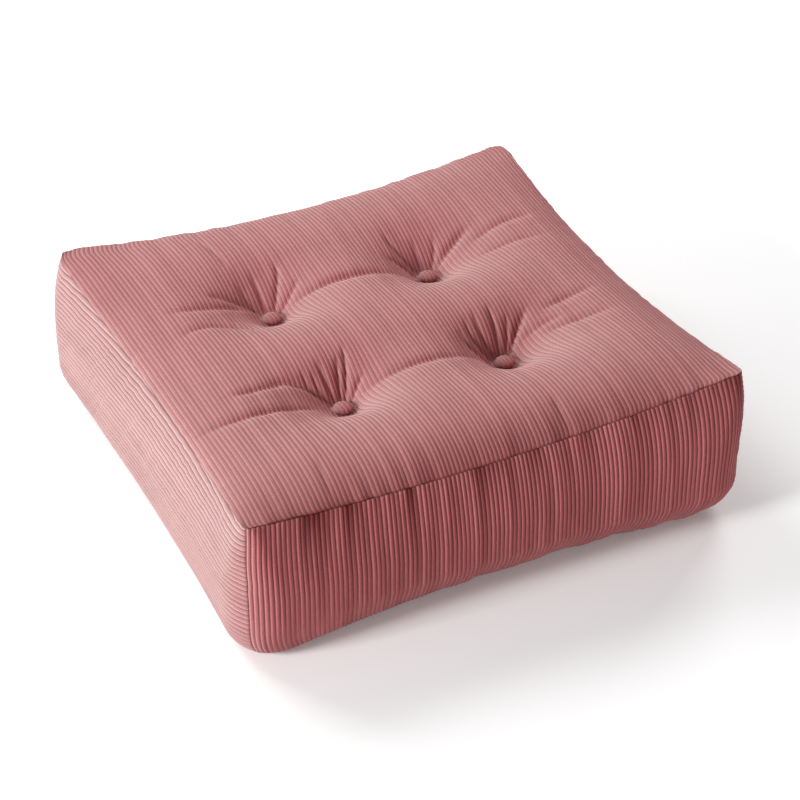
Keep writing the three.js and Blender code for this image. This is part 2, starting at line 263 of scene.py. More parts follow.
# Pleats between the ribs that run together at a button
PLEATS = [
    ((-0.104, -0.097), (-0.091, -0.072), (-0.081, -0.040), 0.0064, 0.0025),
    ((-0.108, -0.095), (-0.101, -0.070), (-0.094, -0.050), 0.0056, 0.0024),
    ((-0.099, -0.101), (-0.085, -0.090), (-0.074, -0.083), 0.0046, 0.0025),
    ((-0.113, -0.095), (-0.118, -0.072), (-0.119, -0.048), 0.0050, 0.0024),
    ((-0.119, -0.096), (-0.130, -0.078), (-0.131, -0.060), 0.0044, 0.0023),
    ((-0.124, -0.099), (-0.140, -0.076), (-0.142, -0.054), 0.0036, 0.0023),
    ((0.114, -0.095), (0.119, -0.066), (0.122, -0.040), 0.0060, 0.0025),
    ((0.119, -0.096), (0.131, -0.078), (0.138, -0.060), 0.0056, 0.0024),
    ((0.124, -0.099), (0.142, -0.079), (0.155, -0.069), 0.0048, 0.0025),
    ((0.107, -0.095), (0.098, -0.073), (0.098, -0.046), 0.0050, 0.0024),
    ((0.101, -0.098), (0.085, -0.078), (0.085, -0.050), 0.0044, 0.0024),
    ((0.098, -0.103), (0.074, -0.088), (0.070, -0.062), 0.0034, 0.0026),
    ((-0.104, 0.122), (-0.086, 0.152), (-0.075, 0.180), 0.0050, 0.0027),
    ((-0.113, 0.123), (-0.113, 0.148), (-0.113, 0.175), 0.0036, 0.0024),
    ((-0.100, 0.117), (-0.080, 0.128), (-0.060, 0.143), 0.0036, 0.0028),
    ((-0.119, 0.121), (-0.132, 0.142), (-0.138, 0.165), 0.0030, 0.0026),
    ((0.113, 0.123), (0.113, 0.143), (0.115, 0.164), 0.0036, 0.0024),
    ((0.105, 0.121), (0.088, 0.152), (0.082, 0.180), 0.0048, 0.0027),
    ((0.101, 0.117), (0.085, 0.130), (0.068, 0.142), 0.0036, 0.0028),
    ((0.120, 0.120), (0.136, 0.140), (0.144, 0.162), 0.0034, 0.0026),
    ((0.138, 0.128), (0.166, 0.140), (0.184, 0.148), 0.0026, 0.0030),
]
FOLD_STEPS = 10
ROW_SOFT = 0.002
CREASE_SOFT = 0.0009
ROW_ENDS = 0.02  # the share of a row or broad fold in which it fades out, and of a crease
CREASE_ENDS = 0.01

# The covered buttons: half section as distance from the middle and height
BUTTON_SECTION = [
    (0.0, 0.0), (0.0090, 0.0), (0.0121, 0.0013), (0.0130, 0.0029), (0.0125, 0.0045),
    (0.0104, 0.0062), (0.0066, 0.0075), (0.0, 0.0082),
]
BUTTON_GAP = 0.0003
BUTTON_RIM = 0.002  # ribs show above this height
BUTTON_POINTS = {"section": 45, "round": 121}
BUTTON_SMOOTHING = 3  # passes that round the section
BUTTON_FIRST_RIB = 10.5  # the rib coordinate of the middle of a button
BUTTON_TURNS = {"back_left": 0.10, "back_right": -0.05, "front_left": 0.08, "front_right": 0.02}

# The cloth: its gloss, the mottling of its colour, its pile, and its colours as painted in shade (deep)
# and as painted lit with painted sheen (pale)
GLOSS = {"Roughness": 0.9, "Specular IOR Level": 0.15, "Sheen Weight": 0.11,
         "Sheen Roughness": 0.5, "Sheen Tint": (1.0, 0.82, 0.80, 1)}
MOTTLE = {"scale": 14, "detail": 3, "least": 0.93, "most": 1.07}
PILE = {"scale": 700, "detail": 2, "least": 0.66, "most": 1.36}
PILE_BUMP = {"Strength": 0.5, "Distance": 0.0006}
COLOURS = {
    "cover": {"deep": (0.43, 0.118, 0.124), "pale": (0.42, 0.245, 0.240)},
    # the buttons' cover: a darker copy of the same cloth, painted shade
    "button_cover": {"deep": (0.39, 0.106, 0.112), "pale": (0.36, 0.187, 0.184)},
}

# Camera: where the photograph was taken from
CAMERA_PLACE = (-1.18384, -2.49646, 2.08294)
CAMERA_AZIMUTH = 0.44861  # radians to the left of the front
CAMERA_ELEVATION = 0.62808
CAMERA_ROLL = -0.00350
FOCAL_PIXELS = 2634.93
IMAGE_SIZE = 800
SENSOR = 36.0

# Studio
FLOOR = {"reach": 30.0, "colour": (0.93, 0.93, 0.93, 1), "roughness": 0.9, "glow": 0.12}
WORLD_STRENGTH = 0.27
LIGHT_AIM = (0, 0, 0.1)
LIGHTS = {
    "key": {"place": (-1.3, 2.8, 2.8), "size": 2.0, "power": 106},
    "back_right": {"place": (2.6, 2.0, 2.2), "size": 1.5, "power": 60},
    "side": {"place": (-3.4, -0.55, 1.5), "size": 0.9, "power": 132},
}


def lerp(a, b, t):
    return a + (b - a) * t


def smoothstep(t):
    t = np.clip(t, 0, 1)
    return t * t * (3 - 2 * t)


def unevenness(across, along, cell, seed):
    """A smooth uneven surface from -1 to 1, its bumps about one cell wide and long."""
    table = np.random.default_rng(seed).uniform(-1, 1, (CELLS, CELLS))
    x, y = across / cell[0], along / cell[1]
    column, row = np.floor(x).astype(int), np.floor(y).astype(int)
    share_x, share_y = smoothstep(x - column), smoothstep(y - row)

    def value(i, j):
        return table[(row + j) % CELLS, (column + i) % CELLS]

    return lerp(lerp(value(0, 0), value(1, 0), share_x),
                lerp(value(0, 1), value(1, 1), share_x), share_y)


def wave(kind, across, along):
    """The height of one kind of wave of the cloth."""
    height, width, length, seed = WAVES[kind]
    return height * unevenness(across, along, (width, length), seed)


def rib_shade(kind, phase, along):
    """The uneven darkness of a panel from rib to rib: random tone, and by the front seam painted shade
    and highlight of its puckers.
    """
    share, ribs, length, seed = SHADES[kind]
    return share * unevenness(phase, along, (ribs, length), seed)


def soft_slope(distance, soft, width):
    """A slope from 1 down to 0 with distance, rounded at its start."""
    return np.exp(-(np.hypot(distance, soft) - soft) / width)


def side_point(name, t, down):
    """Points of a side panel: t from -1 to 1 along it, down from 0 at the top seam to 1."""
    side = SIDES[name]
    start, end = CORNERS[side["start"]], CORNERS[side["end"]]

    seam_height = lerp(start["height"], end["height"], (1 + t) / 2) - side["sag"] * (1 - t * t)
    foot_tuck = lerp(start["foot_tuck"], end["foot_tuck"], smoothstep((1 + t) / 2))
    z = lerp(seam_height, BASE_SEAM_HEIGHT, down)
    upper = np.clip((z - FULLEST_HEIGHT) / (seam_height - FULLEST_HEIGHT), 0, 1)
    foot = np.clip(1 - z / FOOT_HEIGHT, 0, 1)
    tuck = TOP_TUCK * upper ** TOP_TUCK_CURVE + foot_tuck * (1 - np.sqrt(1 - foot ** 2))
    bow = MID_BOW + (side["top_bow"] - MID_BOW) * upper + (side["foot_bow"] - MID_BOW) * foot
    top_round = np.where(t < 0, start["top_round"], end["top_round"])
    radius = lerp(CORNER_ROUND, top_round, upper ** CORNER_CURVE)
    straight = side["run"] - tuck - radius
    travelled = np.abs(t) * (straight + radius * math.pi / 4)
    turn = np.clip((travelled - straight) / radius, 0, math.pi / 4)
    along = np.minimum(travelled, straight) + radius * np.sin(turn)
    end_of_round = straight + radius * DIAGONAL
    out = side["reach"] - tuck - radius * (1 - np.cos(turn)) - bow * (1 - (along / end_of_round) ** 2)
    along = np.sign(t) * along
    (ax, ay), (ox, oy) = side["along"], side["outward"]
    return np.stack([ax * along + ox * out, ay * along + oy * out, z + 0 * along], -1)


def patch(u, v, down):
    """The plain surface stretched between the four sides at one level of them."""
    one = np.ones_like(u)
    front_share, back_share = (1 - v) / 2, (1 + v) / 2
    left_share, right_share = (1 - u) / 2, (1 + u) / 2

    def add(name, t, share):
        return side_point(name, t, down * one) * share[..., None]

    return (add("front", u, front_share) + add("back", u, back_share)
            + add("left", v, left_share) + add("right", v, right_share)
            - add("front", -one, front_share * left_share)
            - add("front", one, front_share * right_share)
            - add("back", -one, back_share * left_share)
            - add("back", one, back_share * right_share))


def rise(t, low_fullness, high_fullness):
    fullness = np.where(t < 0, low_fullness, high_fullness)
    return np.maximum(0, 1 - np.abs(t) ** fullness) ** ROUNDNESS


def crown_share(u, v):
    return (rise(u, FULLNESS["left"], FULLNESS["right"])
            * rise(v, FULLNESS["front"], FULLNESS["back"]))


def crown_height(u, v):
    return CROWN * crown_share(u, v) * (1 - CROWN_LEAN * v)


def pull(tuft, x, y):
    """How strongly a button draws the cloth down at a place: 1 under it, fading to 0."""
    dx, dy = x - tuft["x"], y - tuft["y"]
    distance = np.maximum(np.hypot(dx, dy), 1e-9)
    lengthways = np.where(dy < 0, tuft["front"], tuft["back"])
    sideways = np.where(dx < 0, tuft["left"], tuft["right"])
    reach = lerp(lengthways, sideways, (dx / distance) ** 2)
    beyond = np.maximum(0, distance - SEAT_RADIUS)
    return soft_slope(beyond, PULL_SOFTNESS, reach)


def bent_line(start, through, end, where):
    """A curve from start through the middle point to the end, at places from 0 to 1 along it."""
    bend = 2 * through - (start + end) / 2
    return (1 - where) ** 2 * start + 2 * where * (1 - where) * bend + where ** 2 * end


def fold_distance(fold, x, y):
    """How far points lie from a fold's curve in plan, and where along it the nearest point is."""
    start, through, end = (np.array(point) for point in fold[:3])
    curve = bent_line(start, through, end, np.linspace(0, 1, FOLD_STEPS + 1)[:, None])
    nearest = np.full(x.shape, np.inf)
    where = np.zeros(x.shape)
    for step in range(FOLD_STEPS):
        ax, ay = curve[step]
        dx, dy = curve[step + 1] - curve[step]
        part = np.clip(((x - ax) * dx + (y - ay) * dy) / (dx * dx + dy * dy), 0, 1)
        distance = np.hypot(x - ax - part * dx, y - ay - part * dy)
        closer = distance < nearest
        nearest = np.where(closer, distance, nearest)
        where = np.where(closer, (step + part) / FOLD_STEPS, where)
    return nearest, where


def fold_fade(where, ends):
    """The share of a fold's depth at each place along it, falling off to both ends."""
    return np.sqrt(np.sin(math.pi * np.clip(where, ends, 1 - ends)))


def broad_depth(fold, x, y):
    *_, depth, width = fold
    nearest, where = fold_distance(fold, x, y)
    return depth * fold_fade(where, ROW_ENDS) * np.exp(-(nearest / width) ** 2)


def crease_depth(fold, x, y):
    *_, depth, width = fold
    nearest, where = fold_distance(fold, x, y)
    return depth * fold_fade(where, CREASE_ENDS) * soft_slope(nearest, CREASE_SOFT, width)


def row_depth(row, x, y):
    """The depth of a sewn row, steeper behind its line than in front of it."""
    start, through, end, depth, behind, before = row
    nearest, where = fold_distance(row, x, y)
    line = bent_line(start[1], through[1], end[1], where)
    width = np.where(y > line, behind, before)
    return depth * fold_fade(where, ROW_ENDS) * soft_slope(nearest, ROW_SOFT, width)


def top_surface(u, v):
    """Points of the top panel without its ribs: crowned, folded and drawn down at the buttons."""
    point = patch(u, v, 0.0)
    x, y = point[..., 0], point[..., 1]
    inside = np.minimum(1, FOLD_RISE * crown_share(u, v))
    z = point[..., 2] + crown_height(u, v)
    for row in ROWS:
        z = z - row_depth(row, x, y) * inside
    for fold in BROAD_FOLDS:
        z = z - broad_depth(fold, x, y) * inside
    free = 1
    clear = 1
    for tuft in TUFTS.values():
        free = free * (1 - inside * pull(tuft, x, y))
        beyond = np.hypot(x - tuft["x"], y - tuft["y"]) - BUTTON_CLEAR["start"]
        clear = clear * smoothstep(beyond / BUTTON_CLEAR["width"])
    z = lerp(SEAT_HEIGHT, z, free)
    for fold in CREASES + PLEATS:
        z = z - crease_depth(fold, x, y) * inside * clear
    point[..., 2] = z
    return point


def rib_height(phase):
    """Height of the pile across the ribs: 0 in the groove between two and 1 on the crest."""
    place = phase % 1
    away = np.where(place < RIB_CREST, 1 - place / RIB_CREST, (place - RIB_CREST) / (1 - RIB_CREST))
    return np.maximum(0, 1 - away ** 2) ** RIB_FULLNESS


def rib_lines(count, samples=RIB_SAMPLES):
    """The rib coordinate of each line of points across a panel, from 0 to the number of ribs."""
    return np.append((np.arange(count)[:, None] + np.array(samples)).ravel(), count)


def rib_shares(lines):
    """Where each line lies across its panel, from 0 to 1."""
    share = lines / lines[-1]
    swing = np.sin(2 * math.pi * share) / (2 * math.pi)
    return share + SPREAD["ends"] * swing + SPREAD["lean"] * share * (1 - share)


def crowded_lines(length, count, crowding):
    """Places from 0 to length that lie closer together where crowding is high."""
    fine = np.linspace(0, length, PLACE_SAMPLES)
    sums = np.concatenate([[0], np.cumsum(crowding((fine[1:] + fine[:-1]) / 2))])
    return np.interp(np.linspace(0, sums[-1], count + 1), sums, fine)


def panel_rows(kind, length, extra=lambda place: 0):
    """Places of the rows of points of a panel, closer together at both ends. extra crowds them
    elsewhere too."""
    rows = POINT_ROWS[kind]

    def crowding(place):
        ends = np.exp(-place / rows["reach"]) + np.exp(-(length - place) / rows["reach"])
        return 1 + rows["crowding"] * ends + extra(place)

    return crowded_lines(length, rows["count"], crowding)


def running_length(points):
    """The length along each row of points, from 0 at its start."""
    step = np.linalg.norm(np.diff(points, axis=1), axis=-1)
    return np.concatenate([np.zeros((len(points), 1)), np.cumsum(step, 1)], 1)


def unit(vectors):
    return vectors / np.maximum(np.linalg.norm(vectors, axis=-1, keepdims=True), 1e-12)


def grid_normals(points):
    """Unit normals of a grid of points, from its rows and columns."""
    return unit(np.cross(np.gradient(points, axis=1), np.gradient(points, axis=0)))


def turned_out(normal, outward):
    """Normals of a side, each turned to face outward."""
    return np.where((normal @ outward)[..., None] < 0, -normal, normal)


def pucker(name, along, distance, reach):
    """The offset of the cloth by the puckers of one seam, at a distance from it."""
    kind = PUCKERS[name]
    ends = smoothstep((1 - np.abs(along) / SIDES[name]["run"]) / PUCKER_ENDS)
    share = unevenness(along, 0 * along, (kind["width"], 1.0), kind["seed"]) * ends
    share = share * np.exp(-distance / kind[reach])
    return kind["height"] * share[..., None] * np.array(kind["out"])


def seam_roll(distance):
    return (SEAM_ROLL["height"] * (1 - np.exp(-distance / SEAM_ROLL["start"]))
            * np.exp(-(distance / SEAM_ROLL["fade"]) ** 2))


def seam_shade(distances, phase):
    """Painted shade at the seams, most in the grooves that run into them. distances gives the distance
    from each kind of seam."""
    crest = 1 - SEAM_SHADE_CREST * rib_height(phase)
    return sum(SEAM_SHADE_SHARE[kind] * np.exp(-(distance / SEAM_SHADE_WIDTH) ** 2) * crest
               for kind, distance in distances.items())


def corner_pucker(name, t, height, seam_height):
    """The offset of a side panel by the puckers along its upright seams."""
    side = SIDES[name]
    corner = np.where(t < 0, corner_number(side["start"]), corner_number(side["end"]))
    ends = (smoothstep(height / CORNER_PUCKER["ends"])
            * smoothstep((seam_height - height) / CORNER_PUCKER["ends"]))
    distance = (1 - np.abs(t)) * side["run"]
    share = unevenness(height, corner, (CORNER_PUCKER["width"], 1.0), CORNER_PUCKER["seed"])
    share = share * ends * np.exp(-distance / CORNER_PUCKER["reach"]) * CORNER_PUCKER["height"]
    along, outward = side_directions(name)
    direction = outward + np.sign(t)[..., None] * along
    return share[..., None] * direction * DIAGONAL


def corner_number(corner):
    return float(list(CORNERS).index(corner))


def side_directions(name):
    """The directions along a side and outward from it."""
    return np.array([*SIDES[name]["along"], 0.0]), np.array([*SIDES[name]["outward"], 0.0])


def rib_light_and_tone(kind, phase, tone_and_shade, normal, clear=1, extra_light=0):
    """How strongly the painted highlights and shade across the ribs show on a panel, how dark it is at
    each point with painted shade in its grooves, and how much painted light and sheen it gets by the
    way it faces. clear is lower where the ribs are less marked."""
    # painted shade in the grooves
    groove = GROOVE_SHADE[kind] * (1 - rib_height(phase)) * clear
    painted_light_share = np.maximum(np.asarray(normal) @ np.array(PAINTED_LIGHT_FROM) + PAINTED_LIGHT_LEVEL + extra_light, 0)
    return {"rib_highlight_share": RIB_HIGHLIGHT_SHARE[kind] * clear, "tone_and_shade": tone_and_shade + groove, "painted_light_share": painted_light_share}


def grid_mesh(name, points, phase, looks, owner=None, flip=False):
    """A mesh from a grid of points, with its place across the ribs and its looks. owner gives the
    point that stands for each one, where a panel is cut short at a slanting seam."""
    rows, columns = points.shape[:2]
    index = np.arange(rows * columns).reshape(rows, columns) if owner is None else owner
    quads = np.stack([index[:-1, :-1], index[:-1, 1:], index[1:, 1:], index[1:, :-1]], -1)
    quads = quads.reshape(-1, 4)
    if flip:
        quads = quads[:, ::-1]
    used = np.unique(quads)
    renumber = np.full(rows * columns, -1)
    renumber[used] = np.arange(len(used))
    faces = []
    for quad in renumber[quads].tolist():
        corners = list(dict.fromkeys(quad))
        if len(corners) >= 3:
            faces.append(corners)
    mesh = bpy.data.meshes.new(name)
    mesh.from_pydata(points.reshape(-1, 3)[used].tolist(), [], faces)
    for title, values in {"rib": phase, **looks}.items():
        attribute = mesh.attributes.new(title, "FLOAT", "POINT")
        spread = np.broadcast_to(values, phase.shape).reshape(-1)
        attribute.data.foreach_set("value", spread[used].astype(np.float32))
    mesh.shade_smooth()
    piece = bpy.data.objects.new(name, mesh)
    bpy.context.scene.collection.objects.link(piece)
    return piece


def seam_fall(distance):
    """How far the cloth dips into a seam at a distance from it, from 1 to 0."""
    return np.exp(-(distance / SEAM_SOFT) ** SEAM_CURVE)


def even_across(v_rows, count_lines):
    """The across coordinate u of each line on each row, so that ribs are evenly spaced along
    the crowned cloth."""
    fine = np.linspace(-1, 1, ACROSS_SAMPLES)
    u, v = np.meshgrid(fine, v_rows)
    point = patch(u, v, 0.0)
    point[..., 2] += crown_height(u, v)
    share = rib_shares(count_lines)
    return np.stack([np.interp(share * row[-1], row, fine) for row in running_length(point)])


def pinched(u, v):
    """Moves points of the top towards the buttons, as the cloth is drawn in there."""
    x, y = u * HALF_WIDTH, v * HALF_DEPTH
    inside = np.minimum(1, PINCH["crown"] * crown_share(u, v))
    moved_x, moved_y = x, y
    for tuft in TUFTS.values():
        dx, dy = x - tuft["x"], y - tuft["y"]
        distance = np.maximum(np.hypot(dx, dy), 1e-9)
        draw = (PINCH["draw"] * (1 - np.exp(-distance / PINCH["rise"]))
                * np.exp(-(distance / PINCH["fade"]) ** 2) * inside)
        moved_x = moved_x - dx / distance * draw
        moved_y = moved_y - dy / distance * draw
    return moved_x / HALF_WIDTH, moved_y / HALF_DEPTH


def make_top():
    """The top panel, its ribs running from the front seam to the back seam."""
    def beside_tufts(place):
        away = np.abs(place - HALF_DEPTH) - TUFT_POINT_ROWS["place"]
        return TUFT_POINT_ROWS["crowding"] * np.exp(-(away / TUFT_POINT_ROWS["reach"]) ** 2)

    v_rows = panel_rows("top", 2 * HALF_DEPTH, beside_tufts) / HALF_DEPTH - 1
    lines = rib_lines(RIBS["top"], TOP_SAMPLES)
    u = even_across(v_rows, lines)
    v = np.repeat(v_rows[:, None], len(lines), 1)
    stray = wave("stray", u * HALF_WIDTH, v * HALF_DEPTH)
    u = u + stray / HALF_WIDTH * smoothstep((1 - np.abs(u)) / WAVE_MARGIN["stray"])
    u, v = pinched(u, v)
    base = top_surface(u, v)
    normal = grid_normals(base)
    phase = np.repeat(lines[None, :], len(v_rows), 0)
    edge_u = (1 - np.abs(u)) * HALF_WIDTH
    edge_v = (1 - np.abs(v)) * HALF_DEPTH
    fall_u, fall_v = seam_fall(edge_u), seam_fall(edge_v)
    keep = (1 - fall_u) * (1 - fall_v)
    sunk = RIB_DEPTH["top"] * (1 - rib_height(phase)) * keep
    points = base - normal * sunk[..., None]
    fall_u = fall_u * np.where(u < 0, LEFT_SEAM_DIP, 1.0)
    inward = np.stack([-np.sign(u) * fall_u, -np.sign(v) * fall_v, -np.maximum(fall_u, fall_v)], -1)
    points += SEAM_DIP * DIAGONAL * inward
    x, y = base[..., 0], base[..., 1]
    away = smoothstep(edge_u / WAVE_MARGIN["top"]) * smoothstep(edge_v / WAVE_MARGIN["top"])
    waves = wave("top_swell", x, y) + wave("top_pairs", x, y) + wave("top_rib", u * HALF_WIDTH, y)
    points += normal * (waves * away)[..., None]
    points += pucker("front", x, (1 + v) * HALF_DEPTH, "over")
    points += pucker("back", x, (1 - v) * HALF_DEPTH, "over")
    points += pucker("left", y, (1 + u) * HALF_WIDTH, "over")
    points += pucker("right", y, (1 - u) * HALF_WIDTH, "over")
    ends = smoothstep(edge_v / SEAM_ROLL["top_ends"])
    points[..., 2] += seam_roll((1 + u) * HALF_WIDTH) * ends
    smooth = grid_normals(points + normal * sunk[..., None])
    tone_and_shade = top_tone_and_shade(phase, u, v, y)
    return grid_mesh("top_panel", points, phase, rib_light_and_tone("top", phase, tone_and_shade, smooth))


def top_tone_and_shade(phase, u, v, y):
    """How dark the top panel is at each point: random tone from rib to rib, painted shade at its front
    seam, above all at the left, and painted shade in the seams.
    """
    from_front = (1 + v) * HALF_DEPTH
    # Painted shade of the ribs by the front seam
    near_front = np.maximum(0, rib_shade("top_front", phase, y)) * np.exp(-from_front / TOP_FRONT_REACH)
    tone_and_shade = DARKNESS["top"] + rib_shade("top", phase, y) + near_front
    # Painted shade at the front left
    corner = smoothstep((-u - FRONT_LEFT_SHADE["start"]) / FRONT_LEFT_SHADE["fade"])
    tone_and_shade = tone_and_shade + FRONT_LEFT_SHADE["share"] * np.exp(-from_front / FRONT_LEFT_SHADE["reach"]) * corner
    seams = {"front_back": (1 - np.abs(v)) * HALF_DEPTH, "left_right": (1 - np.abs(u)) * HALF_WIDTH}
    return tone_and_shade + seam_shade(seams, phase)


def profile_downs(name, t, heights):
    """The level of points at given cloth heights over the base seam, and the height of the top
    seam, for each place t along a side."""
    fine = np.linspace(1, 0, PROFILE_SAMPLES)
    levels = side_point(name, np.repeat(t[:, None], len(fine), 1), np.repeat(fine[None], len(t), 0))
    length = running_length(levels)
    downs = np.stack([np.interp(heights(row[-1]), row, fine) for row in length])
    return downs, length[:, -1]


def side_dip(name, t, down, height, seam_height):
    """The dip of a side panel into its four seams, and the share of the ribs that is left."""
    along, outward = side_directions(name)
    up = np.array([0.0, 0.0, 1.0])
    fall_top = seam_fall(seam_height - height)[..., None]
    fall_base = seam_fall(height)[..., None]
    fall_end = seam_fall((1 - np.abs(t)) * SIDES[name]["run"])[..., None]
    toward_end = np.sign(t)[..., None] * along
    dip = (fall_top * (-outward - up) + fall_base * (-outward + up)
           - fall_end * (outward + toward_end)) * SEAM_DIP * DIAGONAL
    keep = ((1 - fall_top) * (1 - fall_base) * (1 - fall_end))[..., 0]
    return dip, keep


def away_from_seams(t, height, below):
    """The share of the waves on a side panel, 0 at its seams and 1 further in."""
    margin = WAVE_MARGIN["side"]
    ends = smoothstep((1 - np.abs(t)) / WAVE_MARGIN["end"])
    return smoothstep(height / margin) * smoothstep(below / margin) * ends


def make_upright_side(name):
    """A front or back panel, its ribs running from the top seam to the base seam."""
    lines = rib_lines(RIBS[name])
    t_lines = 2 * rib_shares(lines) - 1
    shares = panel_rows("upright", 1)
    downs, lengths = profile_downs(name, t_lines, lambda length: shares * length)
    t = np.repeat(t_lines[:, None], len(shares), 1)
    base = side_point(name, t, downs)
    height = shares[None] * lengths[:, None]
    below = lengths[:, None] - height
    along = t * SIDES[name]["run"]
    dip, keep = side_dip(name, t, downs, height, lengths[:, None])
    _, outward = side_directions(name)
    normal = turned_out(grid_normals(base), outward)
    phase = np.repeat(lines[:, None], len(shares), 1)
    sunk = RIB_DEPTH["upright"] * (1 - rib_height(phase)) * keep
    points = base - normal * sunk[..., None] + dip
    foot = smoothstep((FOOT_WAVE["top"] - height) / FOOT_WAVE["fade"])
    waves = (wave("upright_pairs", along, height) + wave("upright_rib", along, height)
             + wave("upright_swell", along, height) + wave("upright_foot", along, height) * foot)
    points += normal * (waves * away_from_seams(t, height, below))[..., None]
    points += pucker(name, along, below, "down") + corner_pucker(name, t, height, lengths[:, None])
    # Painted shade and highlight of the puckers, in bands below the top seam
    bands = rib_shade("upright_painted_bands", phase, height) * np.exp(-below / BAND_REACH)
    tone_and_shade = DARKNESS["upright"] + rib_shade("upright", phase, height) + np.maximum(0, bands)
    tone_and_shade = tone_and_shade + BAND_HIGHLIGHT * np.minimum(0, bands) * rib_height(phase) ** BAND_CREST
    edge = (1 - np.abs(t)) * SIDES[name]["run"]
    tone_and_shade = tone_and_shade + seam_shade({"front_back": below, "base": height, "upright_end": edge}, phase)
    smooth = turned_out(grid_normals(points + normal * sunk[..., None]), outward)
    above_foot = smoothstep((height - FOOT_CLEAR["start"]) / FOOT_CLEAR["rise"])
    clear = lerp(FOOT_CLEAR["least"], 1, above_foot)
    looks = rib_light_and_tone("upright", phase, tone_and_shade, smooth, clear)
    return grid_mesh(name + "_panel", points, phase, looks, flip=name == "front")


def make_level_side(name):
    """A left or right panel, its ribs level, counted from the base and cut by the top seam."""
    t_rows = panel_rows("level", 2) - 1
    _, lengths = profile_downs(name, t_rows, lambda length: np.zeros(1))
    lines = rib_lines(math.ceil(lengths.max() / LEVEL_PITCH))
    wanted = lines * LEVEL_PITCH
    downs, lengths = profile_downs(name, t_rows, lambda length: np.minimum(wanted, length))
    height = np.minimum(wanted[None], lengths[:, None])
    below = lengths[:, None] - height
    t = np.repeat(t_rows[:, None], len(wanted), 1)
    along = t * SIDES[name]["run"]
    base = side_point(name, t, downs)
    dip, keep = side_dip(name, t, downs, height, lengths[:, None])
    normal = side_normals(name, t, downs)
    phase = height / LEVEL_PITCH
    points = base - normal * (RIB_DEPTH["level"] * (1 - rib_height(phase)) * keep)[..., None] + dip
    slanted = wave("level_slant", along + LEVEL_WAVE["slant"] * height, height)
    waves = slanted * smoothstep(height / LEVEL_WAVE["rise"]) + wave("level_swell", along, height)
    points += normal * (waves * away_from_seams(t, height, below))[..., None]
    points += pucker(name, along, below, "down") + corner_pucker(name, t, height, lengths[:, None])
    if name == "left":
        points[..., 0] -= seam_roll(below) * smoothstep((1 - np.abs(t)) / SEAM_ROLL["side_ends"])
        points += normal * left_seam_wave(t, along, below)[..., None]
    edge = (1 - np.abs(t)) * SIDES[name]["run"]
    tone_and_shade = DARKNESS["level"] + rib_shade("level", phase, along)
    tone_and_shade = tone_and_shade + seam_shade({"left_right": below, "base": height, "level_end": edge}, phase)
    index = np.arange(t.size).reshape(t.shape)
    cut = wanted[None] >= lengths[:, None]
    first = np.argmax(cut, axis=1)
    owner = np.where(cut, index[np.arange(len(t_rows)), first][:, None], index)
    looks = rib_light_and_tone("level", phase, tone_and_shade, normal, extra_light=LEVEL_PAINTED_LIGHT)
    return grid_mesh(name + "_panel", points, phase, looks, owner, flip=name == "right")


def left_seam_wave(t, along, below):
    """The height of the slanting puckers under the left seam."""
    kind = LEFT_SEAM_WAVE
    reach = smoothstep(below / kind["start"]) * np.exp(-below / kind["fade"])
    ends = smoothstep((1 - np.abs(t)) / kind["ends"])
    return wave("left_seam", along - kind["slant"] * below, below) * reach * ends


def side_normals(name, t, down):
    """Outward normals of a side, from small steps along it and down it."""
    step = 1e-4
    before, after = np.clip(t - step, -1, 1), np.clip(t + step, -1, 1)
    upper, lower = np.clip(down - step, 0, 1), np.clip(down + step, 0, 1)
    sideways = side_point(name, after, down) - side_point(name, before, down)
    downwards = side_point(name, t, lower) - side_point(name, t, upper)
    _, outward = side_directions(name)
    return turned_out(unit(np.cross(sideways, downwards)), outward)


def make_base():
    """The base panel: flat on the floor, rolling up to its seam."""
    lines = rib_lines(RIBS["base"])
    u_lines = 2 * lines / lines[-1] - 1
    v_rows = panel_rows("base", 2) - 1
    u, v = np.meshgrid(u_lines, v_rows)
    points = patch(u, v, 1.0)
    edge_u, edge_v = (1 - np.abs(u)) * HALF_WIDTH, (1 - np.abs(v)) * HALF_DEPTH
    inset = np.minimum(edge_u, edge_v)
    phase = np.repeat(lines[None, :], len(v_rows), 0)
    fall = seam_fall(inset)
    groove = RIB_DEPTH["base"] * (1 - rib_height(phase)) * (1 - fall)
    level = BASE_SEAM_HEIGHT * np.clip(1 - inset / BASE_ROLL, 0, 1) ** 2
    dip = SEAM_DIP * DIAGONAL
    points[..., 0] -= np.sign(u) * seam_fall(edge_u) * dip
    points[..., 1] -= np.sign(v) * seam_fall(edge_v) * dip
    points[..., 2] = level + groove + fall * dip
    looks = rib_light_and_tone("base", phase, DARKNESS["base"], (0, 0, -1))
    return grid_mesh("base_panel", points, phase, looks, flip=True)


